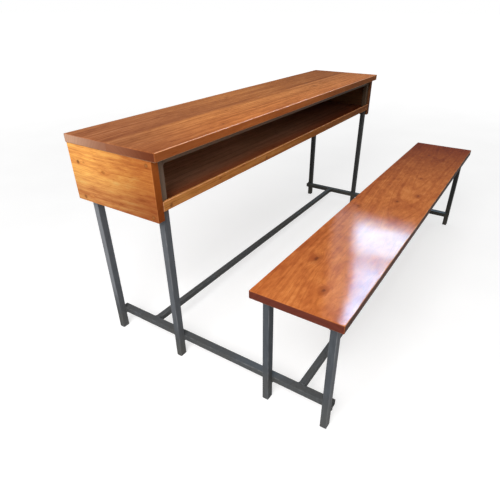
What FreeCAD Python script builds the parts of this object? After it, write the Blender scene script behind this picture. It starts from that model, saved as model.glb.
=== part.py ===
import FreeCAD, Part
import os

# Sizes in millimetres. X runs along the desk, Y from the bench to the back of the desk, Z up from the floor.
# Left and right are those of a person who sits on the bench.

# Writing top, two planks edge to edge
top_length = 1600.0
top_depth = 352.0
top_thick = 25.0
top_height = 707.0  # floor to the writing surface
front_plank_share = 0.5  # part of the depth that the front plank covers

# Book box under the top
panel_set_in = 3.0  # end of the top to the outer face of an end panel
panel_thick = 25.0
panel_skirt = 26.0  # end and back panels hang this far below the shelf
back_thick = 25.0
shelf_drop = 146.0  # underside of the top to the underside of the shelf
shelf_thick = 20.0
shelf_notch_gap = 0.5  # room round each leg that the shelf is notched for
lip_height = 28.0
lip_thick = 8.0

# Bench
bench_gap = 268.0  # front edge of the top to the near edge of the seat
seat_depth = 262.0
seat_thick = 25.0
seat_height = 400.0
seat_end_overhang = 23.0  # seat end past the outer faces of the legs
seat_outer_inset = 23.0  # outer seat edge to the outer legs
seat_inner_inset = 28.0  # inner seat edge to the inner legs

# Steel frame of tube: square along the desk, wider in the legs and rails of the two ends
tube = 20.0
end_tube = 25.0  # size along X of the tubes of the two ends
tube_wall = 1.5
tube_corner = 2.0  # outside corner radius of the tube
desk_leg_inset = 27.0  # front edge of the top to the front legs
floor_rail_height = 55.0  # floor to the underside of the floor rails
desk_stretcher_setback = 136.0  # front of the desk's front legs to its stretcher
bench_stretcher_setback = 96.0  # front of the bench's outer legs to its stretcher

# Board edges and screws
arris_radius = 2.0
screw_diameter = 4.0
screw_head_diameter = 8.0
screw_head_depth = 2.4
screw_slot_width = 1.0
screw_slot_depth = 0.9
screw_clearance = 0.3
tube_bite = 6.0  # screw point past a tube wall
wood_bite = 15.0  # screw point into a board
lip_screw_inset = 30.0  # end of the lip to its first screw
lip_screw_share = 0.32  # place of the second lip screw, as part of half the lip
front_leg_screw_shares = (0.08, 0.92)  # heights on an end panel, from its lower edge
rear_leg_screw_shares = (0.08, 0.70)
back_screw_shares = (0.2, 0.8)  # heights on the back panel
bearer_screw_shares = (0.15, 0.5, 0.85)  # places along a shelf bearer
rail_screw_shares = (-0.85, -0.3, 0.3, 0.85)  # places along half a lengthwise rail
head_round_share = 0.5  # rounding of a pan head, as part of its depth

overrun = tube  # cuts run this far past the faces they open

# Heights
top_underside = top_height - top_thick
seat_underside = seat_height - seat_thick
desk_rail_low = top_underside - tube
seat_rail_low = seat_underside - tube
shelf_low = top_underside - shelf_drop
shelf_top = shelf_low + shelf_thick
bearer_low = shelf_low - tube
panel_low = shelf_low - panel_skirt
panel_height = shelf_drop + panel_skirt
lip_top = shelf_low + lip_height

# Places along Y, with the origin midway between the back of the desk and the outer edge of the seat
rear_edge = (top_depth + bench_gap + seat_depth) / 2
front_edge = rear_edge - top_depth
seat_inner_edge = front_edge - bench_gap
seat_outer_edge = seat_inner_edge - seat_depth
plank_joint = front_edge + top_depth * front_plank_share
desk_front = front_edge + desk_leg_inset  # front faces of the front legs
desk_back = rear_edge - back_thick  # rear faces of the rear legs
desk_rear = desk_back - tube  # front faces of the rear legs
bench_outer = seat_outer_edge + seat_outer_inset  # front faces of the outer legs
bench_inner = seat_inner_edge - seat_inner_inset - tube  # front faces of the inner legs
panel_front = desk_front - lip_thick

# Places along X, measured outwards from the middle
half_top = top_length / 2
panel_outer = half_top - panel_set_in
leg_outer = panel_outer - panel_thick
leg_inner = leg_outer - end_tube
rail_inner = leg_inner - end_tube
leg_middle = leg_outer - end_tube / 2
half_seat = leg_outer + seat_end_overhang

sides = {"left": -1, "right": 1}
along_x = FreeCAD.Vector(1, 0, 0)
along_y = FreeCAD.Vector(0, 1, 0)
along_z = FreeCAD.Vector(0, 0, 1)
tube_sizes = FreeCAD.Vector(end_tube, tube, tube)


def block(low, high):
    corner = FreeCAD.Vector(*low)
    size = FreeCAD.Vector(*high) - corner
    return Part.makeBox(size.x, size.y, size.z, corner)


def side_block(side, inner, outer, low, high):
    """Block between two distances from the middle, on one side; low and high are (y, z)."""
    if side > 0:
        return block((inner, *low), (outer, *high))
    return block((-outer, *low), (-inner, *high))


def board(solid):
    """Board with every arris eased."""
    return solid.makeFillet(arris_radius, solid.Edges)


def edges_along(solid, axis):
    return [edge for edge in solid.Edges if edge.Curve.Direction.cross(axis).Length == 0]


def frame_tube(low, length, axis):
    """Tube whose lowest outer corner is low, running along axis, with the frame's sizes across it."""
    start = FreeCAD.Vector(*low)
    across = FreeCAD.Vector(1, 1, 1) - axis
    far = start + tube_sizes + axis * (length - tube_sizes.dot(axis))
    skin = block(start, far)
    skin = skin.makeFillet(tube_corner, edges_along(skin, axis))
    wall = across * tube_wall
    core = block(start + wall - axis * overrun, far - wall + axis * overrun)
    if tube_corner > tube_wall:
        core = core.makeFillet(tube_corner - tube_wall, edges_along(core, axis))
    return skin.cut(core)


def placed(shape, point, direction):
    shape.Placement = FreeCAD.Placement(FreeCAD.Vector(*point), FreeCAD.Rotation(along_z, direction))
    return shape


def head_slot(depth_start):
    """Cross recess, cut into a head from its outer face."""
    arm = screw_head_diameter / 2 - screw_slot_width
    half = screw_slot_width / 2
    depth_end = depth_start + screw_slot_depth
    first = block((-arm, -half, depth_start), (arm, half, depth_end))
    second = block((-half, -arm, depth_start), (half, arm, depth_end))
    return first.fuse(second)


def flat_screw(point, direction, length):
    """Countersunk screw: point is the middle of its head's face, which lies flush."""
    head = Part.makeCone(screw_head_diameter / 2, screw_diameter / 2, screw_head_depth)
    shank = Part.makeCylinder(screw_diameter / 2, length)
    return placed(head.fuse(shank).removeSplitter().cut(head_slot(0)), point, direction)


def flat_hole(point, direction, length):
    """Clearance hole with a countersink for a countersunk screw."""
    wide = screw_head_diameter / 2 + screw_clearance
    narrow = screw_diameter / 2 + screw_clearance
    mouth = Part.makeCylinder(wide, overrun, FreeCAD.Vector(0, 0, -overrun))
    sink = Part.makeCone(wide, narrow, screw_head_depth)
    shank = Part.makeCylinder(narrow, length + screw_clearance)
    return placed(mouth.fuse([sink, shank]), point, direction)


def pan_screw(point, direction, length):
    """Pan head screw: point is on the face that its head bears on."""
    head_face = FreeCAD.Vector(0, 0, -screw_head_depth)
    head = Part.makeCylinder(screw_head_diameter / 2, screw_head_depth, head_face)
    outer_edge = min(head.Edges, key=lambda edge: edge.CenterOfMass.z)
    head = head.makeFillet(screw_head_depth * head_round_share, [outer_edge])
    shank = Part.makeCylinder(screw_diameter / 2, length)
    return placed(head.fuse(shank).cut(head_slot(-screw_head_depth)), point, direction)


def pan_hole(point, direction, length):
    """Clearance hole for the shank of a pan head screw."""
    depth = length + screw_clearance + overrun
    shank = Part.makeCylinder(screw_diameter / 2 + screw_clearance, depth, FreeCAD.Vector(0, 0, -overrun))
    return placed(shank, point, direction)


nodes = {}


def fasten(name, make_screw, make_hole, places, bored):
    """Add one group of equal screws, and cut their holes in the pieces that they hold together."""
    nodes[name] = Part.makeCompound([make_screw(*place) for place in places])
    holes = [make_hole(*place) for place in places]
    for piece in bored:
        nodes[piece] = nodes[piece].cut(holes)


def add_legs():
    for name, side in sides.items():
        x = leg_inner if side > 0 else -leg_outer
        nodes[name + "_desk_front_leg"] = frame_tube((x, desk_front, 0), top_underside, along_z)
        nodes[name + "_desk_rear_leg"] = frame_tube((x, desk_rear, 0), top_underside, along_z)
        nodes[name + "_bench_inner_leg"] = frame_tube((x, bench_inner, 0), seat_underside, along_z)
        nodes[name + "_bench_outer_leg"] = frame_tube((x, bench_outer, 0), seat_underside, along_z)


def add_floor_frame():
    """Floor rails against the inner faces of the legs, and stretchers between the rails."""
    for name, side in sides.items():
        x = rail_inner if side > 0 else -leg_inner
        low = (x, bench_outer, floor_rail_height)
        nodes[name + "_floor_rail"] = frame_tube(low, desk_back - bench_outer, along_y)
    places = {
        "desk_stretcher": desk_front + desk_stretcher_setback,
        "bench_stretcher": bench_outer + bench_stretcher_setback,
    }
    for name, y in places.items():
        nodes[name] = frame_tube((-rail_inner, y, floor_rail_height), rail_inner + rail_inner, along_x)


def add_end_rails(kind, front, rear, z):
    """Short rails between the front and rear leg of each end, in line with the legs."""
    for name, side in sides.items():
        x = leg_inner if side > 0 else -leg_outer
        nodes[name + kind] = frame_tube((x, front + tube, z), rear - front - tube, along_y)


def add_long_rails():
    """Rails under the top and the seat, between the left and right legs."""
    rails = {
        "desk_front_rail": (desk_front, desk_rail_low),
        "desk_rear_rail": (desk_rear, desk_rail_low),
        "seat_inner_rail": (bench_inner, seat_rail_low),
        "seat_outer_rail": (bench_outer, seat_rail_low),
    }
    for name, (y, z) in rails.items():
        nodes[name] = frame_tube((-leg_inner, y, z), leg_inner + leg_inner, along_x)


def add_boards():
    top_low, top_high = top_underside, top_height
    front = block((-half_top, front_edge, top_low), (half_top, plank_joint, top_high))
    rear = block((-half_top, plank_joint, top_low), (half_top, rear_edge, top_high))
    nodes["top_front_plank"] = board(front)
    nodes["top_rear_plank"] = board(rear)
    seat_low = (-half_seat, seat_outer_edge, seat_underside)
    nodes["seat_board"] = board(block(seat_low, (half_seat, seat_inner_edge, seat_height)))


def add_book_box():
    for name, side in sides.items():
        panel = side_block(side, leg_outer, panel_outer, (panel_front, panel_low), (rear_edge, top_underside))
        nodes[name + "_end_panel"] = board(panel)
    back = block((-leg_outer, desk_back, panel_low), (leg_outer, rear_edge, top_underside))
    nodes["back_panel"] = board(back)
    shelf = block((-leg_outer, desk_front, shelf_low), (leg_outer, desk_back, shelf_top))
    notch_inner = leg_inner - shelf_notch_gap
    notch_front = desk_front + tube + shelf_notch_gap
    notch_rear = desk_rear - shelf_notch_gap
    low, high = shelf_low - overrun, shelf_top + overrun
    for side in sides.values():
        front_notch = (desk_front - overrun, low), (notch_front, high)
        rear_notch = (notch_rear, low), (desk_back + overrun, high)
        for corners in (front_notch, rear_notch):
            shelf = shelf.cut(side_block(side, notch_inner, leg_outer + overrun, *corners))
    nodes["shelf_board"] = shelf
    lip = block((-leg_outer, panel_front, shelf_low), (leg_outer, desk_front, lip_top))
    nodes["shelf_lip"] = board(lip)


def add_box_screws():
    """Countersunk screws through the panels into the legs, and through the shelf and its lip."""
    panel_length = panel_thick + tube_wall + tube_bite
    panel_places = []
    back_places = []
    shelf_places = []
    bearer_start = desk_front + tube
    bearer_length = desk_rear - bearer_start
    for side in sides.values():
        for y, shares in ((desk_front, front_leg_screw_shares), (desk_rear, rear_leg_screw_shares)):
            for share in shares:
                point = (side * panel_outer, y + tube / 2, panel_low + panel_height * share)
                panel_places.append((point, along_x * -side, panel_length))
        for share in back_screw_shares:
            point = (side * leg_middle, rear_edge, panel_low + panel_height * share)
            back_places.append((point, -along_y, back_thick + tube_wall + tube_bite))
        for share in bearer_screw_shares:
            point = (side * leg_middle, bearer_start + bearer_length * share, shelf_top)
            shelf_places.append((point, -along_z, shelf_thick + tube_wall + tube_bite))
    lip_first = leg_outer - lip_screw_inset
    lip_second = leg_outer * lip_screw_share
    lip_places = []
    for x in (-lip_first, -lip_second, lip_second, lip_first):
        point = (x, panel_front, shelf_low + shelf_thick / 2)
        lip_places.append((point, along_y, lip_thick + wood_bite))
    legs = [name + leg for name in sides for leg in ("_desk_front_leg", "_desk_rear_leg")]
    rear_legs = [name + "_desk_rear_leg" for name in sides]
    panels = [name + "_end_panel" for name in sides]
    bearers = [name + "_shelf_bearer" for name in sides]
    fasten("end_panel_screws", flat_screw, flat_hole, panel_places, panels + legs)
    fasten("back_panel_screws", flat_screw, flat_hole, back_places, ["back_panel"] + rear_legs)
    fasten("shelf_screws", flat_screw, flat_hole, shelf_places, ["shelf_board"] + bearers)
    fasten("lip_screws", flat_screw, flat_hole, lip_places, ["shelf_lip", "shelf_board"])


def add_rail_screws():
    """Pan head screws from below, through the lengthwise rails into the top and the seat."""
    length = tube + wood_bite
    top_places = []
    seat_places = []
    for share in rail_screw_shares:
        x = leg_inner * share
        for y in (desk_front, desk_rear):
            top_places.append(((x, y + tube / 2, desk_rail_low), along_z, length))
        for y in (bench_inner, bench_outer):
            seat_places.append(((x, y + tube / 2, seat_rail_low), along_z, length))
    top_pieces = ["desk_front_rail", "desk_rear_rail", "top_front_plank", "top_rear_plank"]
    seat_pieces = ["seat_inner_rail", "seat_outer_rail", "seat_board"]
    fasten("top_screws", pan_screw, pan_hole, top_places, top_pieces)
    fasten("seat_screws", pan_screw, pan_hole, seat_places, seat_pieces)


add_legs()
add_floor_frame()
add_end_rails("_desk_end_rail", desk_front, desk_rear, desk_rail_low)
add_end_rails("_shelf_bearer", desk_front, desk_rear, bearer_low)
add_end_rails("_seat_end_rail", bench_outer, bench_inner, seat_rail_low)
add_long_rails()
add_boards()
add_book_box()
add_box_screws()
add_rail_screws()

os.makedirs("parts", exist_ok=True)
for node, shape in nodes.items():
    shape.exportStep("parts/" + node + ".step")
    print(node, len(shape.Solids), round(shape.Volume), shape.isValid())
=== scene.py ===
import math

import bpy
import numpy as np
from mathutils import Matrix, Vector


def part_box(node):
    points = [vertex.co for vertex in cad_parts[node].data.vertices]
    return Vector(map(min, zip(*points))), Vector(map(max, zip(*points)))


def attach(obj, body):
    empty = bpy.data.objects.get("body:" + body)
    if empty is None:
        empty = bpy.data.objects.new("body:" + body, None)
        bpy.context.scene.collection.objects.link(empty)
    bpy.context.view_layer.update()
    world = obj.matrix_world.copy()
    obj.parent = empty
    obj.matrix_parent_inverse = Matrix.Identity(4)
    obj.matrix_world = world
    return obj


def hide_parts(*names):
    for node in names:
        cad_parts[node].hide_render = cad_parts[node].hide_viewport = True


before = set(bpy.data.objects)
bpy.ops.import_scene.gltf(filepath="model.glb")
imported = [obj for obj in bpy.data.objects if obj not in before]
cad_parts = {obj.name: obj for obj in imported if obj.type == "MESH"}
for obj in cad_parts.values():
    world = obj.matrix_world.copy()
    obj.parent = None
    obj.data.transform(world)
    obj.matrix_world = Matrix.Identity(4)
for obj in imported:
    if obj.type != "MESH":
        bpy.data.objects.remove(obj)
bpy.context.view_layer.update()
print("frame:", len(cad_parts), "nodes")

# mesh helpers

latticeSize = 32
latticeSeed = 11
latticeValues = np.random.default_rng(latticeSeed).random((latticeSize,) * 3)


def nodeBox(node):
    low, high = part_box(node)
    return np.array(low), np.array(high)


# value noise: random numbers on a lattice with this cell, blended by the smooth step of the place in
# the cell, from -1 to 1
def smoothNoise(points, cell):
    place = points / cell
    base = np.floor(place).astype(int)
    part = place - base
    part = part * part * (3 - 2 * part)
    total = np.zeros(len(points))
    for corner in np.ndindex(2, 2, 2):
        weight = np.prod(np.where(corner, part, 1 - part), axis=1)
        pick = (base + corner) % latticeSize
        total += weight * latticeValues[pick[:, 0], pick[:, 1], pick[:, 2]]
    return 2 * total - 1


# the sum of each triangle's tetrahedron with the origin is the volume; where it comes out below zero
# the faces are turned round
def facesOut(points, quads):
    a, b, c, d = (points[quads[:, k]] for k in range(4))
    volume = np.einsum("ij,ij->", np.cross(a, b), c) + np.einsum("ij,ij->", np.cross(a, c), d)
    return quads if volume > 0 else quads[:, ::-1]


# rows and columns of a grid of points as quads, joined round on itself where wrapped
def gridQuads(rows, columns, wrapRows=False, wrapColumns=False):
    number = np.arange(rows * columns).reshape(rows, columns)
    if wrapRows:
        number = np.vstack([number, number[:1]])
    if wrapColumns:
        number = np.hstack([number, number[:, :1]])
    corners = [number[:-1, :-1], number[1:, :-1], number[1:, 1:], number[:-1, 1:]]
    return np.stack(corners, -1).reshape(-1, 4)


def makePiece(name, points, faces, material, slotName, nodes=(), values=None, sharpAngle=None):
    mesh = bpy.data.meshes.new(name)
    mesh.from_pydata(np.asarray(points).tolist(), [], [list(face) for face in faces])
    for key, numbers in (values or {}).items():
        kind, field = ("FLOAT_VECTOR", "vector") if numbers.ndim == 2 else ("FLOAT", "value")
        made = mesh.attributes.new(key, kind, "POINT")
        made.data.foreach_set(field, numbers.astype(np.float32).ravel())
    mesh.shade_smooth()
    if sharpAngle:
        mesh.set_sharp_from_angle(angle=math.radians(sharpAngle))
    mesh.materials.append(material)
    piece = bpy.data.objects.new(name, mesh)
    bpy.context.scene.collection.objects.link(piece)
    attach(piece, "root")
    if nodes:
        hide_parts(*nodes)


def dress(node, material):
    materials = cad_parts[node].data.materials
    materials.clear()
    materials.append(material)


# node helpers

white = (255, 255, 255)
noiseSpan = (0.3, 0.7)  # most values of a noise lie here


def tint(red, green, blue):
    # a screen colour from 0 to 255 as the linear light that shaders mix
    screen = np.array([red, green, blue]) / 255
    light = np.where(screen <= 0.04045, screen / 12.92, ((screen + 0.055) / 1.055) ** 2.4)
    return (*light.tolist(), 1.0)


def newMaterial(name):
    material = bpy.data.materials.new(name)
    material.use_nodes = True
    material.node_tree.nodes.clear()
    return material, material.node_tree


def put(tree, kind, sockets=None, **options):
    made = tree.nodes.new("ShaderNode" + kind)
    for key, value in options.items():
        setattr(made, key, value)
    for key, value in (sockets or {}).items():
        if isinstance(value, bpy.types.NodeSocket):
            tree.links.new(value, made.inputs[key])
        else:
            made.inputs[key].default_value = value
    return made


def calc(tree, operation, first, second=0.0, third=0.0, clamp=False):
    sockets = {0: first, 1: second, 2: third}
    return put(tree, "Math", sockets, operation=operation, use_clamp=clamp).outputs[0]


def product(tree, *values):
    total = values[0]
    for value in values[1:]:
        total = calc(tree, "MULTIPLY", total, value)
    return total


def blendColours(tree, share, first, second, mode="MIX"):
    sockets = {0: share, 6: first, 7: second}
    return put(tree, "Mix", sockets, data_type="RGBA", blend_type=mode).outputs[2]


def fade(tree, value, start, end, low=0.0, high=1.0):
    # smooth step from low at start to high at end
    sockets = {"Value": value, "From Min": start, "From Max": end, "To Min": low, "To Max": high}
    return put(tree, "MapRange", sockets, interpolation_type="SMOOTHSTEP").outputs["Result"]


def stretch(tree, vector, scale, place=(0, 0, 0)):
    return put(tree, "Mapping", {"Vector": vector, "Location": place, "Scale": scale}).outputs["Vector"]


def noise(tree, vector, scale, detail=2.0):
    sockets = {"Vector": vector, "Scale": scale, "Detail": detail}
    return put(tree, "TexNoise", sockets).outputs["Fac"]


def lineNoise(tree, value, scale, detail):
    sockets = {"W": value, "Scale": scale, "Detail": detail}
    return put(tree, "TexNoise", sockets, noise_dimensions="1D").outputs["Fac"]


def onPoints(tree, name, output="Fac"):
    return put(tree, "Attribute", attribute_name=name).outputs[output]


def ramp(tree, share, stops):
    made = put(tree, "ValToRGB", {"Fac": share})
    points = made.color_ramp.elements
    while len(points) < len(stops):
        points.new(0.5)
    for point, (place, colour) in zip(points, stops):
        point.position = place
        point.color = tint(*colour)
    return made.outputs["Color"]


def bump(tree, height, distance, strength, normal=None):
    sockets = {"Height": height, "Distance": distance, "Strength": strength}
    if normal:
        sockets["Normal"] = normal
    return put(tree, "Bump", sockets).outputs["Normal"]


# colours that follow a value from one end of a span to the other, at even places
def driftColours(tree, value, span, shades):
    stops = zip(np.linspace(0, 1, len(shades)), shades)
    return ramp(tree, fade(tree, value, *span), list(stops))


# a surface whose only gloss is a clear coat
def coatedSurface(tree, look, colour, rough, normal):
    sockets = {"Base Color": colour, "Roughness": rough, "Normal": normal, "Coat Normal": normal}
    sockets.update({"Specular IOR Level": 0.0, "Coat Weight": look["coat"]})
    sockets["Coat Roughness"] = look["coatRough"]
    shader = put(tree, "BsdfPrincipled", sockets)
    put(tree, "OutputMaterial", {"Surface": shader.outputs[0]})


# wood: a board is a slice of a log, so its figure comes from the distance to the pith and from fibres
# that part round the knots; all of it is kept on the points of the mesh

screwSeat = {
    "mouth": 0.0043,
    "throat": 0.0023,
    "depth": 0.0024,
    "rimParts": 9,  # the rim is this part of the depth
    "headsApart": 0.02,
    "fineStep": 0.0008,
    "fineReach": 0.0056,
    "stainFall": 2.5,
}
boardForm = {
    "arcPoints": 5,
    "holding": 1.2,  # a line beside the rounding keeps the flats flat
    "sameDigits": 7,  # points that agree to these digits are one
    "waveCell": 0.11,
    "dentCell": 0.017,
    "dentShift": 1.3,
    "dentStart": 0.3,
    "upward": 3,
    "onFace": 0.9,
    "grainPower": 4,
}
logForm = {
    "slowScale": (1, 0.35, 0.35),
    "acrossCell": 0.22,
    "deepCell": 0.31,
    "deepShift": 3.7,
    "clearOfKnots": 9.0,
    "knotLength": 1.7,
    "knotReach": 2.4,
    "fibrePull": 0.85,
    "ringRise": 2.4,
}


# groups of values that lie closer together than the gap, as lists of their numbers
def splitAtGaps(values, gap):
    order = np.argsort(values)
    cuts = np.flatnonzero(np.diff(values[order]) > gap) + 1
    return np.split(order, cuts)


# the middles of the screw heads that lie in a node's outermost plane on one side of an axis
def headPlaces(node, axis, side):
    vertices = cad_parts[node].data.vertices
    points = np.zeros(len(vertices) * 3)
    vertices.foreach_get("co", points)
    points = points.reshape(-1, 3)
    height = points[:, axis] * side
    rim = points[height > height.max() - screwSeat["depth"] / screwSeat["rimParts"]]
    first, second = [k for k in range(3) if k != axis]
    gap = screwSeat["headsApart"]
    places = []
    for column in splitAtGaps(rim[:, first], gap):
        for spot in splitAtGaps(rim[column, second], gap):
            head = rim[column[spot]]
            places.append((head.min(axis=0) + head.max(axis=0)) / 2)
    return np.array(places)


# places along one edge of a board: the rounding at each end by the tangent of even angles, even steps
# between, and finer ones across each screw seat
def spread(low, high, lowMargin, highMargin, step, seats):
    turn = np.tan(np.linspace(0, math.pi / 4, boardForm["arcPoints"])[1:])
    steps = max(2, round((high - low) / step))
    between = np.linspace(low + lowMargin, high - highMargin, steps + 1)
    holding = boardForm["holding"]
    between = np.sort(np.append(between, [low + holding * lowMargin, high - holding * highMargin]))
    reach, fineStep = screwSeat["fineReach"], screwSeat["fineStep"]
    for seat in np.unique(np.round(seats, 6)):
        fine = np.arange(seat - reach, seat + reach, fineStep)
        between = np.sort(np.append(between[np.abs(between - seat) > reach + fineStep], fine))
    return np.concatenate([(low + lowMargin * (1 - turn))[::-1], between, high - highMargin * (1 - turn)])


# six grids over a box, each point drawn to the rounded form: the nearest point of the box less its
# margins, plus the margins along the way out from there
def roundedBoard(low, high, lowMargin, highMargin, steps, seats):
    lines = [spread(low[k], high[k], lowMargin[k], highMargin[k], steps[k], seats[k]) for k in range(3)]
    points = []
    quads = []
    count = 0
    for axis, (first, second) in enumerate(((1, 2), (2, 0), (0, 1))):
        u, v = np.meshgrid(lines[first], lines[second], indexing="ij")
        for side, corner in enumerate((low, high)):
            patch = np.zeros(u.shape + (3,))
            patch[..., first] = u
            patch[..., second] = v
            patch[..., axis] = corner[axis]
            patchQuads = gridQuads(*u.shape) + count
            quads.append(patchQuads if side else patchQuads[:, ::-1])
            points.append(patch.reshape(-1, 3))
            count += u.size
    points = np.vstack(points)
    keys = np.round(points * 10 ** boardForm["sameDigits"]).astype(np.int64)
    _, kept, number = np.unique(keys, axis=0, return_index=True, return_inverse=True)
    points = points[kept]
    quads = number.reshape(-1)[np.vstack(quads)]
    inner = np.clip(points, low + lowMargin, high - highMargin)
    out = points - inner
    margins = np.where(out < 0, lowMargin, highMargin)
    way = out / margins
    way /= np.linalg.norm(way, axis=1, keepdims=True)
    normals = way / margins
    normals /= np.linalg.norm(normals, axis=1, keepdims=True)
    return inner + way * margins, normals, quads


# ring distance: how far a point lies from a pith line that leans through the board, with a slow
# wander, raised round each knot; the fibre place is drawn towards a knot's middle by a bell of its reach
def woodFigure(points, centre, board):
    local = (points - centre)[:, board["axes"]]
    wander = board["wander"]
    slow = local * logForm["slowScale"] + board["seed"]
    across = local[:, 1] + wander * smoothNoise(slow, logForm["acrossCell"])
    deep = local[:, 2] + wander * smoothNoise(slow + logForm["deepShift"], logForm["deepCell"])
    reach = np.full(len(points), logForm["clearOfKnots"])
    raised = np.zeros(len(points))
    fibre = across.copy()
    for knotAlong, knotAcross, radius in board["knots"]:
        alongKnot = (local[:, 0] - knotAlong) / logForm["knotLength"]
        away = np.hypot(alongKnot, local[:, 1] - knotAcross) / radius
        pull = np.exp(-(away / logForm["knotReach"]) ** 2)
        fibre -= logForm["fibrePull"] * pull * (across - knotAcross)
        raised += logForm["ringRise"] * radius * pull
        reach = np.minimum(reach, away)
    pithAcross, pithDeep = board["pith"]
    leanAcross, leanDeep = board["lean"]
    fromPith = across - pithAcross - leanAcross * local[:, 0]
    ring = np.hypot(fromPith, deep - pithDeep - leanDeep * local[:, 0])
    return np.column_stack([local[:, 0], fibre, deep]), ring + raised, reach


def makeBoard(name, board, material):
    low, high = nodeBox(board["node"])
    lowMargin = np.full(3, board["arris"])
    highMargin = np.full(3, board["arris"])
    lowTight = np.zeros(3)
    highTight = np.zeros(3)
    for axis, side, margin in board.get("tightEdges", ()):
        (highMargin if side > 0 else lowMargin)[axis] = margin
        (highTight if side > 0 else lowTight)[axis] = 1.0  # far from any worn edge
    seats = [(), (), ()]
    if "screws" in board:
        screwNode, seatAxis, seatSide = board["screws"]
        places = headPlaces(screwNode, seatAxis, seatSide)
        seatPlane = [k for k in range(3) if k != seatAxis]
        for k in seatPlane:
            seats[k] = places[:, k]
    points, normals, quads = roundedBoard(low, high, lowMargin, highMargin, board["steps"], seats)
    figure, ring, knot = woodFigure(points, (low + high) / 2, board)
    # the second nearest pair of faces tells how far the nearest edge is
    faceGap = np.minimum(points - low + lowTight, high - points + highTight)
    arris = np.exp(-np.maximum(np.sort(faceGap, axis=1)[:, 1], 0) / board["arris"])
    atEnd = np.exp(-np.maximum(faceGap[:, board["axes"][0]], 0) / board["arris"])
    upward = np.clip(normals[:, 2] * boardForm["upward"], 0, 1) if board["wearAbove"] else 1.0
    # the arris mask holds wear and a painted highlight, less of it on the end arrises
    worn = arris * upward * (1 - (1 - board["endWear"]) * atEnd)
    hollow = board["wave"] * (1 - smoothNoise(points, boardForm["waveCell"])) / 2
    knocks = smoothNoise(points + boardForm["dentShift"], boardForm["dentCell"])
    dents = board["dents"] * arris * np.clip(knocks - boardForm["dentStart"], 0, 1)
    stain = np.zeros(len(points))
    if "screws" in board:
        # a countersink: a cone from the mouth on the face down to the throat
        apart = points[:, None, seatPlane] - places[None][:, :, seatPlane]
        away = np.linalg.norm(apart, axis=2).min(axis=1)
        onFace = normals[:, seatAxis] * seatSide > boardForm["onFace"]
        slope = (screwSeat["mouth"] - away) / (screwSeat["mouth"] - screwSeat["throat"])
        hollow = hollow + onFace * screwSeat["depth"] * np.clip(slope, 0, 1)
        pastMouth = np.maximum(away / screwSeat["mouth"] - 1, 0)
        stain = onFace * np.exp(-pastMouth * screwSeat["stainFall"])
    points = points - normals * (hollow + dents)[:, None]
    innerAxis, innerSide = board.get("innerFace", (0, 0))
    alongWay, acrossWay = np.abs(normals[:, board["axes"][:2]]).T ** boardForm["grainPower"]
    values = {
        "grain": figure,
        "ring": ring,
        "knot": knot,
        "worn": worn,
        "stain": stain,
        "endGrain": alongWay,
        "sideGrain": acrossWay,
        "inner": np.clip(normals[:, innerAxis] * innerSide, 0, 1),
    }
    makePiece(name, points, quads, material, board["slot"], [board["node"]], values)


# the parts of the figure that a board of the frame shows too: rings, fibres, streaks, clouds and flecks
def woodFace(tree, look, grain, ring):
    parts = {
        "rings": lineNoise(tree, ring, look["ringsPerMetre"], 3.0),
        "fibres": noise(tree, stretch(tree, grain, look["fibreScale"]), 1.0, 3.0),
        "streaks": noise(tree, stretch(tree, grain, look["streakScale"]), 1.0, 3.0),
        "clouds": noise(tree, stretch(tree, grain, look["cloudScale"]), 1.0, 2.0),
        "mottle": noise(tree, stretch(tree, grain, look["mottleScale"]), 1.0, 3.0),
    }
    tone = (1 - sum(look["depths"].values())) / 2
    for key, depth in look["depths"].items():
        tone = calc(tree, "MULTIPLY_ADD", parts[key], depth, tone)
    colour = ramp(tree, tone, look["tones"])
    # late wood: thin dark lines where the slower ring noise passes its middle
    late = calc(tree, "SUBTRACT", lineNoise(tree, ring, look["linesPerMetre"], 1.0), 0.5)
    late = fade(tree, calc(tree, "ABSOLUTE", late), 0.0, look["lineWidth"], look["lines"], 0.0)
    late = product(tree, late, fade(tree, parts["streaks"], *look["lineSpan"]))
    colour = blendColours(tree, late, colour, tint(*look["lineTint"]), "MULTIPLY")
    fleck = noise(tree, stretch(tree, grain, look["fleckScale"]), 1.0, 2.0)
    fleck = fade(tree, fleck, *look["fleckSpan"], 0.0, look["flecks"])
    colour = blendColours(tree, fleck, colour, tint(*look["lineTint"]), "MULTIPLY")
    pores = noise(tree, stretch(tree, grain, look["poreScale"]), 1.0, 1.0)
    pores = fade(tree, pores, *look["poreSpan"], 0.0, look["pores"])
    colour = blendColours(tree, pores, colour, tint(*look["poreTint"]), "MULTIPLY")
    return colour, parts


def driftedWood(tree, look, colour, grain):
    along, across, _ = put(tree, "SeparateXYZ", {0: grain}).outputs
    drift = driftColours(tree, along, look["alongSpan"], look["alongShades"])
    colour = blendColours(tree, 1.0, colour, drift, "MULTIPLY")
    drift = driftColours(tree, across, look["acrossSpan"], look["acrossShades"])
    return blendColours(tree, 1.0, colour, drift, "MULTIPLY")
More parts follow.
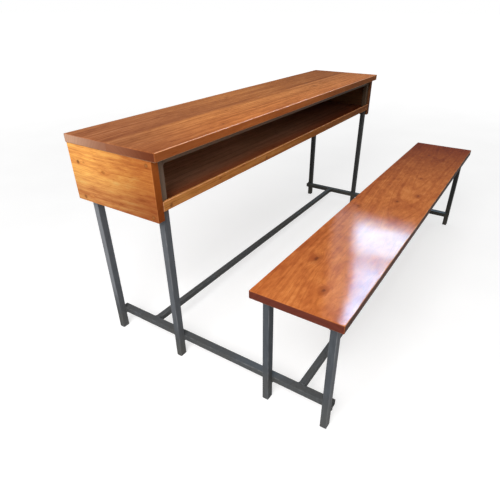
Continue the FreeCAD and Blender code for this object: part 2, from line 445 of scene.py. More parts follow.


# what only a new board has layers for: knots, end grain, painted shade on side faces and insides, bare
# inside, wear with a painted highlight, stains
def woodEdges(tree, look, colour, grain, place, parts):
    along, across, _ = put(tree, "SeparateXYZ", {0: grain}).outputs
    colour = driftedWood(tree, look, colour, grain)
    ragged = noise(tree, stretch(tree, grain, look["knotScale"]), 1.0)
    knotEdge = calc(tree, "MULTIPLY_ADD", ragged, look["ragged"], onPoints(tree, "knot"))
    halo = fade(tree, knotEdge, *look["haloSpan"], 0.0, look["halo"])
    colour = blendColours(tree, halo, colour, tint(*look["haloTint"]))
    core = fade(tree, knotEdge, *look["coreSpan"], 0.0, look["core"])
    colour = blendColours(tree, core, colour, tint(*look["knotTint"]))
    # painted shade: side faces are blended to darker tints, on the front plank and seat darker still
    # towards the far end
    side = calc(tree, "MULTIPLY", onPoints(tree, "sideGrain"), look["sideShade"])
    sideTone = driftColours(tree, along, look["sideSpan"], look["sideTints"])
    colour = blendColours(tree, side, colour, sideTone)
    # end grain tints; across the top's ends the lighter back half is painted light
    endTone = driftColours(tree, across, look["endSpan"], look["endTints"])
    endRing = fade(tree, parts["rings"], *noiseSpan, 1 - look["endRings"], 1 + look["endRings"])
    endTone = blendColours(tree, 1.0, endTone, endRing, "MULTIPLY")
    end = onPoints(tree, "endGrain")
    colour = blendColours(tree, end, colour, endTone)
    inner = calc(tree, "MULTIPLY", onPoints(tree, "inner"), look["innerShade"])
    innerTone = ramp(tree, parts["streaks"], look["innerTones"])
    # painted shade: the inside tone darkens along the board where a look asks for it
    drift = driftColours(tree, along, look["innerSpan"], look["innerShades"])
    innerTone = blendColours(tree, 1.0, innerTone, drift, "MULTIPLY")
    colour = blendColours(tree, inner, colour, innerTone)
    # wear on the arrises, lightened further as a painted highlight
    worn = fade(tree, noise(tree, place, look["wornScale"], 3.0), *look["wornSpan"])
    nearEdge = fade(tree, onPoints(tree, "worn"), *look["edgeSpan"])
    worn = product(tree, nearEdge, worn, look["wear"])
    colour = blendColours(tree, worn, colour, tint(*look["wornTint"]))
    stain = calc(tree, "MULTIPLY", onPoints(tree, "stain"), look["stain"])
    colour = blendColours(tree, stain, colour, tint(*look["stainTint"]))
    dry = calc(tree, "MAXIMUM", end, inner)
    return colour, dry


def woodMaterial(name, look):
    material, tree = newMaterial(name)
    place = put(tree, "TexCoord").outputs["Object"]
    fromFrame = "pith" in look  # a node of the frame has no layers, so its figure comes from its place
    if fromFrame:
        grain = place
        fromPith = stretch(tree, place, look["pithScale"], look["pith"])
        ring = put(tree, "VectorMath", {0: fromPith}, operation="LENGTH").outputs["Value"]
    else:
        grain = onPoints(tree, "grain", "Vector")
        ring = onPoints(tree, "ring")
    colour, parts = woodFace(tree, look, grain, ring)
    rough = fade(tree, parts["streaks"], *noiseSpan, *look["rough"])
    if fromFrame:
        colour = driftedWood(tree, look, colour, place)
    else:
        colour, dry = woodEdges(tree, look, colour, grain, place, parts)
        rough = calc(tree, "MULTIPLY_ADD", dry, look["dryRough"], rough, clamp=True)
    ringBump = look["fibreBump"] * look["ringShare"]
    normal = bump(tree, parts["fibres"], look["grainDepth"], look["fibreBump"])
    normal = bump(tree, parts["rings"], look["grainDepth"], ringBump, normal)
    peel = noise(tree, place, look["peelScale"], 2.0)
    normal = bump(tree, peel, look["peelDepth"], look["peel"], normal)
    coatedSurface(tree, look, colour, rough, normal)
    return material


# the writing top: two planks side by side, the joint left tight

topLook = {
    "tones": [
        (0.15, (136, 72, 33)),
        (0.42, (186, 113, 58)),
        (0.6, (210, 135, 73)),
        (0.85, (232, 167, 101)),
    ],
    "depths": {"rings": 0.16, "fibres": 0.36, "streaks": 0.44, "clouds": 0.5, "mottle": 0.34},
    "ringsPerMetre": 150.0,
    "linesPerMetre": 60.0,
    "lineWidth": 0.05,
    "lines": 0.35,
    "lineTint": (150, 84, 52),
    "lineSpan": (0.3, 0.55),
    "fibreScale": (9, 520, 520),
    "streakScale": (2.8, 120, 120),
    "cloudScale": (3.4, 24, 24),
    "mottleScale": (30, 90, 90),
    "fleckScale": (24, 300, 300),
    "fleckSpan": (0.6, 0.72),
    "flecks": 0.5,
    "poreScale": (55, 1500, 1500),
    "poreSpan": (0.62, 0.74),
    "pores": 0.3,
    "poreTint": (130, 76, 48),
    # darker and bluer at the near end; the darkening towards the far end is a painted reflection
    "alongSpan": (-0.8, 0.6),
    "alongShades": ((214, 209, 236), white, (224, 212, 196)),
    "acrossSpan": (-0.09, 0.09),
    "acrossShades": (white, white),
    "knotScale": (90, 240, 240),
    "ragged": 1.6,
    "haloSpan": (4.0, 1.9),
    "halo": 0.4,
    "haloTint": (128, 62, 32),
    "coreSpan": (1.9, 1.2),
    "core": 0.8,
    "knotTint": (70, 34, 18),
    # painted shade on the side faces
    "sideShade": 0.55,
    "sideSpan": (-0.8, 0.8),
    "sideTints": ((168, 90, 42), (168, 90, 42)),
    # end grain tints, lighter towards the back as painted light
    "endSpan": (-0.09, 0.09),
    "endTints": ((148, 100, 76), (192, 150, 124)),
    "endRings": 0.05,
    "innerShade": 0.85,
    "innerTones": [(0.3, (178, 148, 116)), (0.7, (212, 182, 148))],
    "innerSpan": (-0.3, 0.75),
    "innerShades": (white, white),
    # strength of the arris wear and painted highlight
    "wear": 0.9,
    "edgeSpan": (0.25, 0.65),
    "wornScale": 70.0,
    "wornSpan": (0.2, 0.5),
    "wornTint": (236, 168, 122),
    "stain": 0.6,
    "stainTint": (112, 58, 26),
    "rough": (0.45, 0.6),
    "dryRough": 0.25,
    "coat": 0.07,
    "coatRough": 0.22,
    "grainDepth": 0.0006,
    "fibreBump": 0.12,
    "ringShare": 0.7,
    "peel": 0.04,
    "peelScale": 40.0,
    "peelDepth": 0.002,
}
frontPlankLook = dict(
    topLook,
    tones=[(0.15, (146, 79, 36)), (0.42, (199, 123, 63)), (0.6, (225, 146, 79)), (0.85, (248, 181, 108))],
    # end grain tints, lighter towards the back as painted light
    endTints=((104, 52, 30), (144, 92, 66)),
    # darker and bluer at the near end; the faint darkening towards the front edge is a painted reflection
    alongSpan=(-0.8, -0.35),
    alongShades=((200, 198, 222), white),
    acrossShades=((250, 236, 226), white),
    # painted shade on the front face, darkest at the far end
    sideShade=0.6,
    sideSpan=(-0.15, 0.55),
    sideTints=((160, 86, 40), (44, 22, 10)),
)
rearPlankWood = woodMaterial("rearPlankWood", topLook)
frontPlankWood = woodMaterial("frontPlankWood", frontPlankLook)

topPlank = {
    "slot": "top_wood",
    "axes": [0, 1, 2],
    "arris": 0.0026,
    "wearAbove": True,
    "endWear": 0.15,
    "steps": (0.005, 0.005, 0.005),
    "wave": 0.0003,
    "dents": 0.0004,
    "innerFace": (2, -1),
    "wander": 0.006,
}
topFrontPlank = dict(
    topPlank,
    node="top_front_plank",
    tightEdges=[(1, 1, 0.0002)],
    pith=(0.16, -0.11),
    lean=(0.015, 0.03),
    seed=0.4,
    knots=[(0.31, 0.03, 0.005), (-0.47, -0.05, 0.004)],
)
topRearPlank = dict(
    topPlank,
    node="top_rear_plank",
    tightEdges=[(1, -1, 0.0002)],
    pith=(-0.19, -0.08),
    lean=(-0.02, 0.02),
    seed=2.6,
    knots=[(-0.12, 0.02, 0.004)],
)
makeBoard("topFrontPlank", topFrontPlank, frontPlankWood)
makeBoard("topRearPlank", topRearPlank, rearPlankWood)
print("top: two planks")

# the box under the top: end panels with their grain level, and the back

panelLook = dict(
    topLook,
    tones=[(0.12, (186, 112, 56)), (0.4, (232, 158, 84)), (0.6, (253, 187, 98)), (0.85, (255, 214, 124))],
    depths={"rings": 0.3, "fibres": 0.45, "streaks": 0.6, "clouds": 0.6, "mottle": 0.4},
    ringsPerMetre=110.0,
    linesPerMetre=90.0,
    lineWidth=0.06,
    lines=0.25,
    lineTint=(200, 132, 88),
    streakScale=(6, 110, 110),
    cloudScale=(9, 20, 20),
    fleckScale=(30, 420, 420),
    # painted light: the panel is lighter towards the back and the top, as if lit from the back left
    alongSpan=(-0.16, 0.12),
    alongShades=((190, 162, 154), white),
    acrossSpan=(-0.08, 0.06),
    acrossShades=((214, 205, 226), white),
    halo=0.35,
    haloTint=(200, 122, 60),
    core=0.5,
    knotTint=(142, 80, 38),
    sideShade=0.5,
    sideTints=((150, 82, 40), (150, 82, 40)),
    endTints=((138, 68, 26), (162, 86, 36)),
    endRings=0.04,
    wornTint=(222, 148, 92),
    wear=0.4,
)
farPanelLook = dict(
    panelLook,
    # painted shade: the inside face of the far panel is darker
    innerTones=[(0.3, (66, 45, 32)), (0.7, (90, 64, 45))],
    endTints=((86, 44, 22), (98, 52, 26)),
)
panelWood = woodMaterial("panelWood", panelLook)
farPanelWood = woodMaterial("farPanelWood", farPanelLook)

endPanel = {
    "slot": "panel_wood",
    "axes": [1, 2, 0],
    "arris": 0.002,
    "wearAbove": False,
    "endWear": 0.6,
    "steps": (0.005, 0.003, 0.003),
    "wave": 0.0003,
    "dents": 0.0005,
    "wander": 0.012,
    "pith": (-0.15, 0.08),
    "lean": (0.07, 0.05),
}
leftEndPanel = dict(
    endPanel,
    node="left_end_panel",
    innerFace=(0, 1),
    screws=("end_panel_screws", 0, -1),
    seed=5.2,
    knots=[(0.027, 0.022, 0.006), (0.107, 0.036, 0.002), (0.1, -0.064, 0.0025)],
)
rightEndPanel = dict(
    endPanel,
    node="right_end_panel",
    innerFace=(0, -1),
    screws=("end_panel_screws", 0, 1),
    seed=8.9,
    knots=[(-0.06, -0.03, 0.006), (0.09, 0.04, 0.004)],
)
makeBoard("leftEndPanel", leftEndPanel, panelWood)
makeBoard("rightEndPanel", rightEndPanel, farPanelWood)

backLook = dict(
    panelLook,
    tones=[(0.15, (132, 66, 30)), (0.4, (180, 106, 54)), (0.6, (202, 128, 66)), (0.85, (224, 156, 88))],
    depths={"rings": 0.35, "fibres": 0.35, "streaks": 0.6, "clouds": 0.5, "mottle": 0.2},
    alongSpan=(-0.8, 0.8),
    alongShades=(white, (240, 236, 232)),
    acrossShades=(white, white),
    innerTones=[(0.3, (192, 168, 134)), (0.7, (222, 200, 166))],
    # painted shade: the inside of the back darkens towards the far end
    innerSpan=(-0.3, 0.6),
    innerShades=(white, (104, 90, 88)),
    streakScale=(2.4, 60, 60),
)
backWood = woodMaterial("backWood", backLook)

backPanel = {
    "node": "back_panel",
    "slot": "panel_wood",
    "axes": [0, 2, 1],
    "arris": 0.002,
    "wearAbove": False,
    "endWear": 1.0,
    "steps": (0.006, 0.005, 0.005),
    "wave": 0.0003,
    "dents": 0.0005,
    "innerFace": (1, -1),
    "screws": ("back_panel_screws", 1, 1),
    "wander": 0.012,
    "pith": (0.03, 0.12),
    "lean": (0.02, 0.05),
    "seed": 13.1,
    "knots": [(-0.5, 0.03, 0.006), (-0.08, -0.04, 0.005), (0.36, 0.02, 0.007), (0.64, -0.03, 0.004)],
}
makeBoard("backPanel", backPanel, backWood)
print("box: two end panels and a back")

# the shelf keeps its shape from the frame, notches and all; the lip along its front is new

shelfLook = dict(
    topLook,
    tones=[
        (0.15, (150, 106, 78)),
        (0.4, (180, 134, 102)),
        (0.6, (200, 152, 120)),
        (0.85, (220, 174, 140)),
    ],
    depths={"rings": 0.25, "fibres": 0.35, "streaks": 0.4, "clouds": 0.6, "mottle": 0.3},
    pith=(0, -0.1, -0.38),
    pithScale=(0.02, 1, 1),
    # painted shade: the shelf darkens towards the far end and towards the lip
    alongSpan=(-0.3, 0.6),
    alongShades=(white, (168, 148, 144)),
    acrossSpan=(0.12, 0.24),
    acrossShades=((188, 134, 104), white),
    rough=(0.5, 0.65),
    fibreBump=0.2,
)
dress("shelf_board", woodMaterial("shelfWood", shelfLook))

lipLook = dict(
    topLook,
    tones=[(0.15, (148, 86, 42)), (0.4, (187, 120, 60)), (0.6, (208, 142, 77)), (0.85, (226, 168, 102))],
    sideShade=0.0,
    endTints=((110, 58, 30), (124, 68, 36)),
    # painted shade: the lip darkens towards the far end
    alongSpan=(-0.8, 0.8),
    alongShades=(white, (178, 164, 148)),
    innerShade=0.0,
)
lipWood = woodMaterial("lipWood", lipLook)
shelfLip = {
    "node": "shelf_lip",
    "slot": "shelf_wood",
    "axes": [0, 2, 1],
    "arris": 0.0016,
    "wearAbove": False,
    "endWear": 1.0,
    "steps": (0.006, 0.003, 0.003),
    "wave": 0.0002,
    "dents": 0.0004,
    "screws": ("lip_screws", 1, -1),
    "wander": 0.004,
    "pith": (0.08, 0.05),
    "lean": (0.01, 0.01),
    "seed": 21.3,
    "knots": [(-0.52, 0.004, 0.002), (0.45, -0.004, 0.002)],
}
makeBoard("shelfLip", shelfLip, lipWood)
print("shelf and lip")

# the seat: one knotty board under a thick clear coat

seatLook = dict(
    topLook,
    tones=[(0.12, (149, 73, 30)), (0.4, (190, 105, 51)), (0.6, (210, 125, 63)), (0.85, (230, 153, 87))],
    depths={"rings": 0.12, "fibres": 0.14, "streaks": 0.16, "clouds": 0.5, "mottle": 0.6},
    ringsPerMetre=130.0,
    linesPerMetre=70.0,
    lines=0.3,
    lineTint=(186, 112, 80),
    wear=0.4,
    streakScale=(5, 55, 55),
    cloudScale=(14, 30, 30),
    mottleScale=(34, 80, 80),
    fleckScale=(60, 260, 260),
    flecks=0.22,
    pores=0.35,
    coat=0.1,
    coatRough=0.065,
    alongSpan=(0.1, 0.95),
    alongShades=(white, (160, 98, 58)),
    acrossSpan=(0.08, 0.12),
    acrossShades=(white, (236, 222, 216)),
    halo=0.5,
    haloTint=(146, 66, 32),
    core=0.7,
    knotTint=(88, 38, 20),
    # painted shade on the long edges, darkest at the far end
    sideShade=0.92,
    sideSpan=(-0.5, 0.4),
    sideTints=((72, 46, 40), (24, 9, 5)),
    endTints=((100, 48, 36), (100, 48, 36)),
    endRings=0.08,
    peel=0.1,
    peelScale=26.0,
)
seatWood = woodMaterial("seatWood", seatLook)
seatBoard = {
    "node": "seat_board",
    "slot": "seat_wood",
    "axes": [0, 1, 2],
    "arris": 0.0022,
    "wearAbove": True,
    "endWear": 0.3,
    "steps": (0.0045, 0.0045, 0.004),
    "wave": 0.0004,
    "dents": 0.0005,
    "innerFace": (2, -1),
    "wander": 0.012,
    "pith": (-0.04, -0.07),
    "lean": (0.03, 0.05),
    "seed": 17.0,
    "knots": [
        (-0.562, 0.055, 0.008),
        (-0.694, -0.030, 0.006),
        (-0.148, 0.091, 0.0055),
        (-0.032, -0.015, 0.005),
        (0.058, -0.066, 0.0055),
        (0.117, 0.065, 0.003),
        (0.254, -0.025, 0.0035),
        (0.514, 0.111, 0.003),
        (0.594, 0.025, 0.0045),
    ],
}
makeBoard("seatBoard", seatBoard, seatWood)
print("seat")

# the steel frame: square and oblong tubes, open at their ends, with a bead of weld at each joint

paint = {
    "tones": [(0.25, (68, 71, 75)), (0.5, (79, 83, 88)), (0.75, (91, 95, 101))],
    "runScale": (150, 150, 22),
    "runContrast": (0.6, 0.2),
    "cloudScale": 14.0,
    "clouds": 0.5,
    # painted shade: the tubes grow darker towards the far end
    "farSpan": (-0.5, 0.8),
    "farShades": (white, (184, 178, 168)),
    # painted warm bounce light on the tubes up under the top
    "filmSpan": (0.5, 0.56),
    "filmTint": (126, 102, 80),
    "film": 0.75,
    # painted light on the tubes' end-facing and front faces
    "paleTint": (142, 144, 148),
    "paleSpan": (-0.05, 0.42),
    "paleHeights": (0.08, 0.2),
    "pale": 0.68,
    "frontSpan": (-0.3, -0.41),
    "frontPale": 0.38,
    "deskSpan": (-0.05, 0.1),
    "deskPale": 0.2,
    "scuffTint": (126, 128, 131),
    "scuffScale": 24.0,
    "scuffSpan": (0.44, 0.66),
    "scuffs": 0.4,
    "dustTint": (100, 95, 84),
    "dustHeight": 0.17,
    "dust": 0.75,
    "rough": (0.38, 0.55),
    "coat": 0.16,
    "coatRough": 0.35,
    "grainScale": 420.0,
    "grainDepth": 0.0005,
    "grain": 0.12,
    "peelScale": 60.0,
    "peelDepth": 0.001,
    "peel": 0.05,
}


def paintMaterial(name, look):
    material, tree = newMaterial(name)
    place = put(tree, "TexCoord").outputs["Object"]
    clouds = noise(tree, place, look["cloudScale"], 4.0)
    runs = noise(tree, stretch(tree, place, look["runScale"]), 1.0, 3.0)
    colour = ramp(tree, calc(tree, "MULTIPLY_ADD", runs, *look["runContrast"]), look["tones"])
    darkest = tint(*look["tones"][0][1])
    colour = blendColours(tree, fade(tree, clouds, *noiseSpan, 0.0, look["clouds"]), colour, darkest)
    scuffs = fade(tree, noise(tree, place, look["scuffScale"], 4.0), *look["scuffSpan"])
    scuffs = product(tree, onPoints(tree, "corner"), scuffs, look["scuffs"])
    colour = blendColours(tree, scuffs, colour, tint(*look["scuffTint"]))
    along, deep, height = put(tree, "SeparateXYZ", {0: place}).outputs
    # painted light: the faces of the desk's legs that look out to the ends are lightened, most at the
    # back
    pale = fade(tree, deep, *look["paleSpan"], 0.0, look["pale"])
    pale = product(tree, pale, onPoints(tree, "outer"), fade(tree, height, *look["paleHeights"]))
    colour = blendColours(tree, pale, colour, tint(*look["paleTint"]))
    # painted light too on the fronts of the bench's outer legs and, less, on those of the desk's legs
    bench = fade(tree, deep, *look["frontSpan"], 0.0, look["frontPale"])
    desk = fade(tree, deep, *look["deskSpan"], 0.0, look["deskPale"])
    pale = product(tree, calc(tree, "MAXIMUM", bench, desk), onPoints(tree, "front"))
    colour = blendColours(tree, pale, colour, tint(*look["paleTint"]))
    # painted warm bounce light: the tubes inside the box, up under the top, are tinted warm brown as if
    # lit by the wood round them
    film = fade(tree, height, *look["filmSpan"], 0.0, look["film"])
    colour = blendColours(tree, film, colour, tint(*look["filmTint"]))
    # painted shade: the paint darkens towards the far end
    drift = driftColours(tree, along, look["farSpan"], look["farShades"])
    colour = blendColours(tree, 1.0, colour, drift, "MULTIPLY")
    dust = product(tree, fade(tree, height, look["dustHeight"], 0.0, 0.0, look["dust"]), clouds)
    colour = blendColours(tree, dust, colour, tint(*look["dustTint"]))
    rough = fade(tree, clouds, *noiseSpan, *look["rough"])
    normal = bump(tree, noise(tree, place, look["grainScale"], 2.0), look["grainDepth"], look["grain"])
    peel = noise(tree, place, look["peelScale"], 1.0)
    normal = bump(tree, peel, look["peelDepth"], look["peel"], normal)
    coatedSurface(tree, look, colour, rough, normal)
    return material


slatePaint = paintMaterial("slatePaint", paint)

tube = {
    "corner": 0.002,
    "wall": 0.0015,
    "cut": 0.0004,
    "flatStart": 0.001,
    "arcSteps": 5,
    "sharpAngle": 40,
}


# a rounded oblong: a quarter circle about the middle of each corner, with the start of the flat before
# and after it along the circle's tangent; with it goes the way that each point faces
def tubeProfile(halves, radius):
    angle = np.arange(4)[:, None] * math.pi / 2 + np.linspace(0, math.pi / 2, tube["arcSteps"])
    wayOut = np.stack([np.cos(angle), np.sin(angle)], -1)
    wayOn = np.stack([-np.sin(angle), np.cos(angle)], -1)
    middle = np.sign(wayOut.mean(axis=1, keepdims=True)) * (halves - radius)
    arc = middle + radius * wayOut
    before = arc[:, :1] - tube["flatStart"] * wayOn[:, :1]
    after = arc[:, -1:] + tube["flatStart"] * wayOn[:, -1:]
    facing = np.concatenate([wayOut[:, :1], wayOut, wayOut[:, -1:]], axis=1).reshape(-1, 2)
    return np.concatenate([before, arc, after], axis=1).reshape(-1, 2), facing


# the profile goes out along the tube, in over the cut end, back down the bore and out again
def makeTube(node, material):
    low, high = nodeBox(node)
    axis = int(np.argmax(high - low))
    first, second = [k for k in range(3) if k != axis]
    halves = (high - low)[[first, second]] / 2
    cut, wall = tube["cut"], tube["wall"]
    start, end = low[axis], high[axis]
    rings = [(cut, start), (0, start + cut), (0, end - cut), (cut, end), (wall, end), (wall, start)]
    points = []
    values = {"corner": [], "outer": [], "front": []}
    for inset, place in rings:
        flat, facing = tubeProfile(halves - inset, max(tube["corner"] - inset, tube["cut"]))
        ring = np.zeros((len(flat), 3))
        ring[:, first] = flat[:, 0] + (low + high)[first] / 2
        ring[:, second] = flat[:, 1] + (low + high)[second] / 2
        ring[:, axis] = place
        points.append(ring)
        onArc = np.ones(tube["arcSteps"] + 2)
        onArc[[0, -1]] = 0
        outside = inset < wall
        # the outer and front masks carry the painted light on those faces
        lookOut = facing[:, 0] * np.sign(low[0]) if first == 0 else np.zeros(len(flat))
        lookFront = -facing[:, 1] if second == 1 else np.zeros(len(flat))
        values["corner"].append(np.tile(onArc, 4) * outside)
        values["outer"].append(np.clip(lookOut, 0, 1) * outside)
        values["front"].append(np.clip(lookFront, 0, 1) * outside)
    quads = gridQuads(len(rings), len(points[0]), True, True)
    points = np.vstack(points)
    values = {key: np.concatenate(parts) for key, parts in values.items()}
    words = node.split("_")
    name = words[0] + "".join(word.capitalize() for word in words[1:])
    faces = facesOut(points, quads)
    makePiece(name, points, faces, material, "frame_paint", [node], values, tube["sharpAngle"])


tubeWords = ("leg", "rail", "stretcher", "bearer")
tubeNodes = [node for node in sorted(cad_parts) if node.endswith(tubeWords)]
for node in tubeNodes:
    makeTube(node, slatePaint)
print("frame:", len(tubeNodes), "tubes")

weld = {
    "radius": 0.0026,
    "ripple": 0.16,
    "ripples": 30,
    "uneven": 0.2,
    "unevenCell": 0.006,
    "unevenShift": 0.7,
    "steps": 120,
    "sides": 8,
    "squareness": 9,
    "openShare": 0.75,  # of the way round, where a board lies on the tube
    "taper": 14,
    "tip": 0.04,
}


# a round bead carried along a squared ring about the joint: the ring is the circle divided by its own
# size in a high power, times half the tube each way, and the bead's radius rises and falls along it
def weldBead(centre, axis, halves, openAbove):
    first, second = ((1, 2), (0, 2), (0, 1))[axis]
    share = weld["openShare"] if openAbove else 1.0
    begin = math.pi * share if openAbove else 0.0
    way = np.linspace(0, 1, weld["steps"], endpoint=openAbove)
    angle = begin + 2 * math.pi * share * way
    c, s = np.cos(angle), np.sin(angle)
    power = weld["squareness"]
    size = (np.abs(c) ** power + np.abs(s) ** power) ** (1 / power)
    outFirst = np.sign(c) * np.abs(c) ** (power - 1) / halves[first]
    outSecond = np.sign(s) * np.abs(s) ** (power - 1) / halves[second]
    outSize = np.hypot(outFirst, outSecond)
    path = np.zeros((weld["steps"], 3)) + centre
    path[:, first] += halves[first] * c / size
    path[:, second] += halves[second] * s / size
    out = np.zeros_like(path)
    out[:, first] = outFirst / outSize
    out[:, second] = outSecond / outSize
    ripple = weld["ripple"] * np.sin(2 * math.pi * weld["ripples"] * way)
    uneven = weld["uneven"] * smoothNoise(path + weld["unevenShift"], weld["unevenCell"])
    radius = weld["radius"] * (1 + ripple + uneven)
    if openAbove:
        radius *= np.sqrt(np.clip(np.minimum(way, 1 - way) * weld["taper"] + weld["tip"], 0, 1))
    turn = np.linspace(0, 2 * math.pi, weld["sides"], endpoint=False)
    through = np.zeros(3)
    through[axis] = 1
    section = np.cos(turn)[:, None] * out[:, None, :] + np.sin(turn)[:, None] * through
    points = (path[:, None, :] + radius[:, None, None] * section).reshape(-1, 3)
    quads = gridQuads(weld["steps"], weld["sides"], not openAbove, True)
    faces = facesOut(points - centre, quads).tolist()
    if openAbove:
        caps = [list(range(weld["sides"])), list(range(len(points) - weld["sides"], len(points)))]
        turned = faces[0][0] < faces[0][3]
        faces += [caps[0], caps[1][::-1]] if turned else [caps[0][::-1], caps[1]]
    return points, faces


def tubeEnds(node):
    low, high = nodeBox(node)
    axis = int(np.argmax(high - low))
    for end in (low, high):
        centre = (low + high) / 2
        centre[axis] = end[axis]
        yield centre, axis, (high - low) / 2


def makeWelds(name, joints, openAbove, material):
    points = []
    faces = []
    count = 0
    for centre, axis, halves in joints:
        bead, beadFaces = weldBead(centre, axis, halves, openAbove)
        faces += [[number + count for number in face] for face in beadFaces]
        points.append(bead)
        count += len(bead)
    points = np.vstack(points)
    makePiece(name, points, faces, material, "frame_paint", values={"corner": np.zeros(count)})


floorJoints = [joint for node in ("desk_stretcher", "bench_stretcher") for joint in tubeEnds(node)]
for side in ("left", "right"):
    railLow, railHigh = nodeBox(side + "_floor_rail")
    for leg in ("desk_front_leg", "desk_rear_leg", "bench_inner_leg", "bench_outer_leg"):
        low, high = nodeBox(side + "_" + leg)
        contact = low[0] if side == "right" else high[0]
        middle = np.array([contact, (low + high)[1] / 2, (railLow + railHigh)[2] / 2])
        halves = np.array([0, (high - low)[1] / 2, (railHigh - railLow)[2] / 2])
        floorJoints.append((middle, 0, halves))
upperRails = [node for node in tubeNodes if node.endswith(("rail", "bearer")) and "floor" not in node]
upperJoints = [joint for node in upperRails for joint in tubeEnds(node)]
makeWelds("floorWelds", floorJoints, False, slatePaint)
makeWelds("upperWelds", upperJoints, True, slatePaint)
print("welds:", len(floorJoints) + len(upperJoints))

# screws keep their shape from the frame: brass ones sunk in the box, dull steel under the rails

dullSteel = {
    "tones": [(0.3, (74, 68, 60)), (0.5, (112, 106, 98)), (0.7, (142, 138, 130))],
    "dullScale": 900.0,
    "metallic": 0.7,
    "specular": 0.5,
    "rough": (0.32, 0.55),
    "pitScale": 2500.0,
    "pitDepth": 0.0002,
    "pits": 0.15,
}
agedBrass = dict(
    dullSteel,
    tones=[(0.3, (132, 80, 36)), (0.5, (158, 98, 46)), (0.7, (184, 122, 62))],
    metallic=0.2,
    specular=0.12,
    rough=(0.4, 0.6),
)


def metalMaterial(name, look):
    material, tree = newMaterial(name)
    place = put(tree, "TexCoord").outputs["Object"]
    dull = noise(tree, place, look["dullScale"], 3.0)
    colour = ramp(tree, dull, look["tones"])
    rough = fade(tree, dull, *noiseSpan, *look["rough"])
    normal = bump(tree, noise(tree, place, look["pitScale"], 1.0), look["pitDepth"], look["pits"])
    sockets = {"Base Color": colour, "Roughness": rough, "Normal": normal, "Metallic": look["metallic"]}
    sockets["Specular IOR Level"] = look["specular"]
    shader = put(tree, "BsdfPrincipled", sockets)
    put(tree, "OutputMaterial", {"Surface": shader.outputs[0]})
    return material


steel = metalMaterial("dullSteel", dullSteel)
brass = metalMaterial("agedBrass", agedBrass)
screwSets = {
    "end_panel_screws": brass,
    "back_panel_screws": brass,
    "lip_screws": brass,
    "shelf_screws": steel,
    "top_screws": steel,
    "seat_screws": steel,
}
for node, finish in screwSets.items():
    dress(node, finish)
print("screws:", len(screwSets), "sets")

# floor, light and camera

floor = {
    "reach": 60.0,
    "tones": [(0.3, (186, 186, 186)), (0.7, (192, 192, 192))],
    "toneScale": 3.0,
    "rough": 0.9,
    "lift": (0.62, 0.82),
    "liftSpan": (1.0, 6.0),
}


# one where the camera, a reflection or a see-through ray meets the surface, else nought
def seenRays(tree):
    rays = put(tree, "LightPath").outputs
    seen = calc(tree, "MAXIMUM", rays["Is Camera Ray"], rays["Is Glossy Ray"])
    return calc(tree, "MAXIMUM", seen, rays["Is Transmission Ray"])


def floorMaterial(name, look):
    material, tree = newMaterial(name)
    place = put(tree, "TexCoord").outputs["Object"]
    colour = ramp(tree, noise(tree, place, look["toneScale"], 3.0), look["tones"])
    sockets = {"Base Color": colour, "Roughness": look["rough"], "Specular IOR Level": 0.0}
    shader = put(tree, "BsdfPrincipled", sockets)
    away = put(tree, "VectorMath", {0: place}, operation="LENGTH").outputs["Value"]
    lift = product(tree, seenRays(tree), fade(tree, away, *look["liftSpan"], *look["lift"]))
    lift = put(tree, "Emission", {"Strength": lift})
    both = put(tree, "AddShader", {0: shader.outputs[0], 1: lift.outputs[0]})
    put(tree, "OutputMaterial", {"Surface": both.outputs[0]})
    return material


reach = floor["reach"]
floorMesh = bpy.data.meshes.new("floor")
floorCorners = [(-reach, -reach, 0), (reach, -reach, 0), (reach, reach, 0), (-reach, reach, 0)]
floorMesh.from_pydata(floorCorners, [], [(0, 1, 2, 3)])
floorMesh.materials.append(floorMaterial("paleFloor", floor))
floorPiece = bpy.data.objects.new("floor", floorMesh)
bpy.context.scene.collection.objects.link(floorPiece)

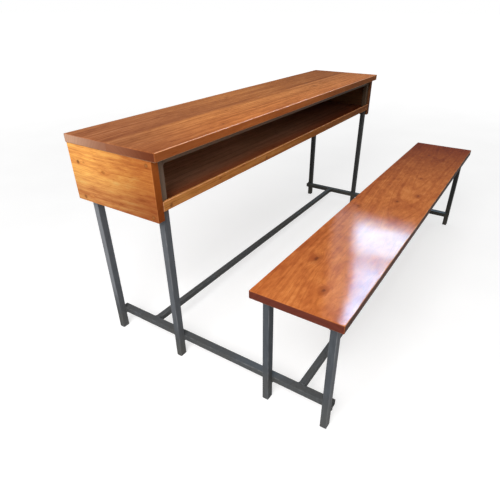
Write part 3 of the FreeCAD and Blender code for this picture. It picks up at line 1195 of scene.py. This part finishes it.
ambient = 0.45
lamps = {
    "keyLamp": {
        "place": (-2.75, -0.5, 2.3),
        "aim": (-0.2, 0.0, 0.5),
        "size": (1.6, 1.6),
        "power": 80.0,
        "colour": (1.0, 1.0, 1.0),
    },
    # panes of cool window light, seen in the varnish only
    "lowPane": {
        "place": (2.4, 0.12, 1.91),
        "aim": (0.0, 0.12, 1.91),
        "size": (1.0, 0.39),
        "power": 124.0,
        "colour": (0.46, 0.74, 1.0),
    },
    "highPane": {
        "place": (2.4, 0.1, 2.48),
        "aim": (0.0, 0.1, 2.48),
        "size": (0.96, 0.56),
        "power": 215.0,
        "colour": (0.32, 0.65, 1.0),
    },
    "topPane": {
        "place": (2.4, 0.11, 3.3),
        "aim": (0.0, 0.11, 3.3),
        "size": (0.98, 1.08),
        "power": 640.0,
        "colour": (0.36, 0.66, 1.0),
    },
    "sidePane": {
        "place": (2.4, 0.75, 2.4),
        "aim": (0.0, 0.75, 2.4),
        "size": (0.26, 1.6),
        "power": 11.0,
        "colour": (0.6, 0.8, 1.0),
    },
}
world = bpy.context.scene.world or bpy.data.worlds.new("studio")
bpy.context.scene.world = world
world.use_nodes = True
sky = world.node_tree
sky.nodes.clear()
soft = put(sky, "Background", {"Color": tint(*white), "Strength": ambient})
full = put(sky, "Background", {"Color": tint(*white), "Strength": 1.0})
both = put(sky, "MixShader", {0: seenRays(sky), 1: soft.outputs[0], 2: full.outputs[0]})
put(sky, "OutputWorld", {"Surface": both.outputs[0]})


def addLamp(name, lamp, onDiffuse):
    light = bpy.data.lights.new(name, "AREA")
    light.shape = "RECTANGLE"
    light.size, light.size_y = lamp["size"]
    light.energy = lamp["power"]
    light.color = lamp["colour"]
    lampObject = bpy.data.objects.new(name, light)
    lampObject.location = lamp["place"]
    aim = Vector(lamp["aim"]) - Vector(lamp["place"])
    lampObject.rotation_euler = aim.to_track_quat("-Z", "Y").to_euler()
    lampObject.visible_camera = False
    lampObject.visible_diffuse = onDiffuse
    bpy.context.scene.collection.objects.link(lampObject)


for name, lamp in lamps.items():
    addLamp(name, lamp, not name.endswith("Pane"))

view = {
    "place": (-1.5088, -0.6720, 1.0147),
    "azimuth": -57.45,
    "elevation": 31.634,
    "lens": 30.21,
    "shift": (-0.0216, 0.0263),
}
camera = bpy.data.cameras.new("camera")
camera.lens = view["lens"]
camera.shift_x, camera.shift_y = view["shift"]
cameraObject = bpy.data.objects.new("camera", camera)
cameraObject.location = view["place"]
cameraObject.rotation_euler = (math.radians(90 - view["elevation"]), 0, math.radians(view["azimuth"]))
bpy.context.scene.collection.objects.link(cameraObject)
bpy.context.scene.camera = cameraObject
bpy.context.scene.view_settings.view_transform = "Standard"
print("studio ready")
